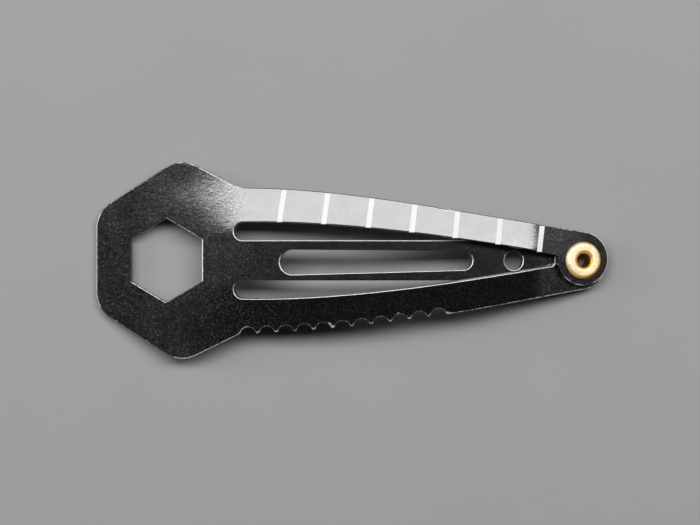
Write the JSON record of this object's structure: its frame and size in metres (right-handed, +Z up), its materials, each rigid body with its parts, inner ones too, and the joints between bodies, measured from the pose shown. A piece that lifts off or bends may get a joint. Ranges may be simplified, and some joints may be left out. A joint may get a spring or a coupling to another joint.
{
  "type": "multi-tool hair clip",
  "caption": "Arched snap hair clip of black sheet steel: hexagonal head with a hex wrench opening, ruler arm, serrated arm, sprung centre tongue and an eyelet at the tip.",
  "frame": {"origin": "under the middle of the closed clip, on the surface it rests on", "axes": "+X from the head to the tip, +Y towards the ruler arm, +Z up out of the arched side"},
  "size_m": [0.0594, 0.0227, 0.0067],
  "materials": {
    "black_coated_steel": "satin black coating on spring steel",
    "brass": "bright rolled brass",
    "white_print": "matt white ink"
  },
  "bodies": {
    "head": {"head_plate": "black_coated_steel"},
    "frame": {"ruler_arm": "black_coated_steel", "serrated_arm": "black_coated_steel", "eyelet": "brass", "ruler_marks": "white_print"},
    "tongue": {"centre_tongue": "black_coated_steel"}
  },
  "joints": [
    {"name": "frame_flex", "type": "hinge", "parent": "head", "child": "frame", "pos_m": [-0.01203, 0, 0.00431], "axis": [0, -1, 0], "range_deg": [0, 24]},
    {"name": "tongue_flex", "type": "hinge", "parent": "head", "child": "tongue", "pos_m": [-0.01203, 0, 0.00431], "axis": [0, -1, 0], "range_deg": [0, 4]}
  ],
  "couplings": [
    {"joint": "tongue_flex", "follows": "frame_flex", "ratio": 0.15}
  ]
}
